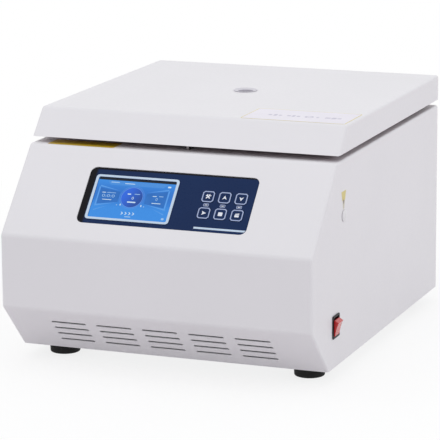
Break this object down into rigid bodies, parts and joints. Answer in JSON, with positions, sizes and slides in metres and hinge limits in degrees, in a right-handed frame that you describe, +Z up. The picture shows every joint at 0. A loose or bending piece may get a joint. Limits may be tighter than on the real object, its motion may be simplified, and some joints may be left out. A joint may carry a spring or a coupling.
{
  "type": "low-speed centrifuge",
  "caption": "Bench-top centrifuge: sloping-front case with membrane display panel, rear-hinged lid with sight port, swing-out rotor in a steel bowl, rubber feet.",
  "frame": {"origin": "on the bench, in the middle of the footprint, taken over the case and the hinges behind it", "axes": "+Z up, the control panel faces -Y, +X to the right of somebody in front of it"},
  "size_m": [0.3868, 0.4898, 0.2901],
  "materials": {
    "powder_coat": "pale grey powder coat, fine texture",
    "grey_coat": "grey enamel",
    "galvanised_sheet": "zinc plated",
    "stainless": "spun stainless, satin",
    "bright_steel": "bright turned steel",
    "turned_aluminium": "fine turned, clear anodised",
    "black_rubber": "matt",
    "navy_membrane": "satin printed film",
    "silver_frame": "silver printed film edge",
    "screen": "lit colour display under cover glass",
    "circuit_board": "green solder mask",
    "black_plastic": "moulded, fine grain",
    "liner_plastic": "moulded grey",
    "red_rocker": "translucent red",
    "white_plastic": "moulded white",
    "sight_glass": "clear"
  },
  "bodies": {
    "case": {"case_shell": "powder_coat", "base_tray": "galvanised_sheet", "back_panel": "powder_coat", "foot_front_left": "black_rubber", "foot_front_right": "black_rubber", "foot_rear_left": "black_rubber", "foot_rear_right": "black_rubber", "bowl": "stainless", "chamber_gasket": "black_rubber", "shaft_boot": "black_rubber", "motor": "grey_coat", "motor_plate": "galvanised_sheet", "motor_damper_1": "black_rubber", "motor_damper_2": "black_rubber", "motor_damper_3": "black_rubber", "display_panel": "navy_membrane", "screen_frame": "silver_frame", "screen": "screen", "control_board": "circuit_board", "drive_board": "circuit_board", "heat_sink": "turned_aluminium", "switch_body": "black_plastic", "mains_inlet": "black_plastic", "fan_frame": "black_plastic", "lock_body": "black_plastic", "lock_solenoid": "grey_coat", "hinge_base_left": "bright_steel", "hinge_base_right": "bright_steel", "hinge_pin_left": "bright_steel", "hinge_pin_right": "bright_steel", "strut_mount": "bright_steel"},
    "lid": {"lid_shell": "powder_coat", "lid_liner": "liner_plastic", "sight_port": "liner_plastic", "sight_glass": "sight_glass", "striker": "bright_steel", "strut_lid_bracket": "bright_steel", "hinge_leaf_left": "bright_steel", "hinge_leaf_right": "bright_steel"},
    "gas_spring_cylinder": {"strut_cylinder": "black_plastic"},
    "gas_spring_rod": {"strut_rod": "bright_steel"},
    "rotor": {"rotor_shaft": "bright_steel", "rotor_yoke": "turned_aluminium", "rotor_nut": "bright_steel"},
    "swing_bucket_1": {"bucket_1": "turned_aluminium"},
    "swing_bucket_2": {"bucket_2": "turned_aluminium"},
    "swing_bucket_3": {"bucket_3": "turned_aluminium"},
    "swing_bucket_4": {"bucket_4": "turned_aluminium"},
    "rocker": {"mains_rocker": "red_rocker"},
    "plug": {"release_plug": "white_plastic"},
    "bolt": {"lock_bolt": "bright_steel"},
    "impeller": {"fan_impeller": "black_plastic"},
    "pressed_menu_key": {"menu_key": "navy_membrane"},
    "pressed_up_key": {"up_key": "navy_membrane"},
    "pressed_down_key": {"down_key": "navy_membrane"},
    "pressed_start_key": {"start_key": "navy_membrane"},
    "pressed_stop_key": {"stop_key": "navy_membrane"},
    "pressed_lid_key": {"lid_key": "navy_membrane"}
  },
  "joints": [
    {"name": "lid_hinge", "type": "hinge", "parent": "case", "child": "lid", "pos_m": [0, 0.2411, 0.25515], "axis": [-1, 0, 0], "range_deg": [0, 75]},
    {"name": "gas_spring_swing", "type": "hinge", "parent": "case", "child": "gas_spring_cylinder", "pos_m": [0.16785, 0.1481, 0.10415], "axis": [-1, 0, 0], "range_deg": [0, 6.6]},
    {"name": "gas_spring_stroke", "type": "slide", "parent": "gas_spring_cylinder", "child": "gas_spring_rod", "axis": [0, 0.3492, 0.937], "range_m": [0, 0.0365]},
    {"name": "rotor_spin", "type": "hinge", "parent": "case", "child": "rotor", "pos_m": [0, 0.0531, 0.208], "axis": [0, 0, 1], "continuous": true},
    {"name": "bucket_1_swing", "type": "hinge", "parent": "rotor", "child": "swing_bucket_1", "pos_m": [0.06235, 0.0531, 0.208], "axis": [0, -1, 0], "range_deg": [0, 90]},
    {"name": "bucket_2_swing", "type": "hinge", "parent": "rotor", "child": "swing_bucket_2", "pos_m": [0, 0.11545, 0.208], "axis": [1, 0, 0], "range_deg": [0, 90]},
    {"name": "bucket_3_swing", "type": "hinge", "parent": "rotor", "child": "swing_bucket_3", "pos_m": [-0.06235, 0.0531, 0.208], "axis": [0, 1, 0], "range_deg": [0, 90]},
    {"name": "bucket_4_swing", "type": "hinge", "parent": "rotor", "child": "swing_bucket_4", "pos_m": [0, -0.00925, 0.208], "axis": [-1, 0, 0], "range_deg": [0, 90]},
    {"name": "menu_key_press", "type": "slide", "parent": "case", "child": "pressed_menu_key", "axis": [0, 0.7317, -0.6816], "range_m": [0, 0.0006], "stiffness_N_per_m": 400, "springref_m": -0.0003},
    {"name": "up_key_press", "type": "slide", "parent": "case", "child": "pressed_up_key", "axis": [0, 0.7317, -0.6816], "range_m": [0, 0.0006], "stiffness_N_per_m": 400, "springref_m": -0.0003},
    {"name": "down_key_press", "type": "slide", "parent": "case", "child": "pressed_down_key", "axis": [0, 0.7317, -0.6816], "range_m": [0, 0.0006], "stiffness_N_per_m": 400, "springref_m": -0.0003},
    {"name": "start_key_press", "type": "slide", "parent": "case", "child": "pressed_start_key", "axis": [0, 0.7317, -0.6816], "range_m": [0, 0.0006], "stiffness_N_per_m": 400, "springref_m": -0.0003},
    {"name": "stop_key_press", "type": "slide", "parent": "case", "child": "pressed_stop_key", "axis": [0, 0.7317, -0.6816], "range_m": [0, 0.0006], "stiffness_N_per_m": 400, "springref_m": -0.0003},
    {"name": "lid_key_press", "type": "slide", "parent": "case", "child": "pressed_lid_key", "axis": [0, 0.7317, -0.6816], "range_m": [0, 0.0006], "stiffness_N_per_m": 400, "springref_m": -0.0003},
    {"name": "mains_rocker_tilt", "type": "hinge", "parent": "case", "child": "rocker", "pos_m": [0.186, -0.1652, 0.0644], "axis": [0, 1, 0], "range_deg": [-32, 0]},
    {"name": "release_plug_pull", "type": "slide", "parent": "case", "child": "plug", "axis": [1, 0, 0], "range_m": [0, 0.012]},
    {"name": "lock_bolt_shot", "type": "slide", "parent": "case", "child": "bolt", "axis": [-1, 0, 0], "range_m": [0, 0.009], "stiffness_N_per_m": 200, "springref_m": -0.004},
    {"name": "fan_spin", "type": "hinge", "parent": "case", "child": "impeller", "pos_m": [-0.1, 0.2213, 0.092], "axis": [0, 1, 0], "continuous": true}
  ],
  "couplings": [
    {"joint": "gas_spring_swing", "follows": "lid_hinge", "ratio": 0.086236},
    {"joint": "gas_spring_stroke", "follows": "lid_hinge", "m_per_rad": 0.027626}
  ]
}
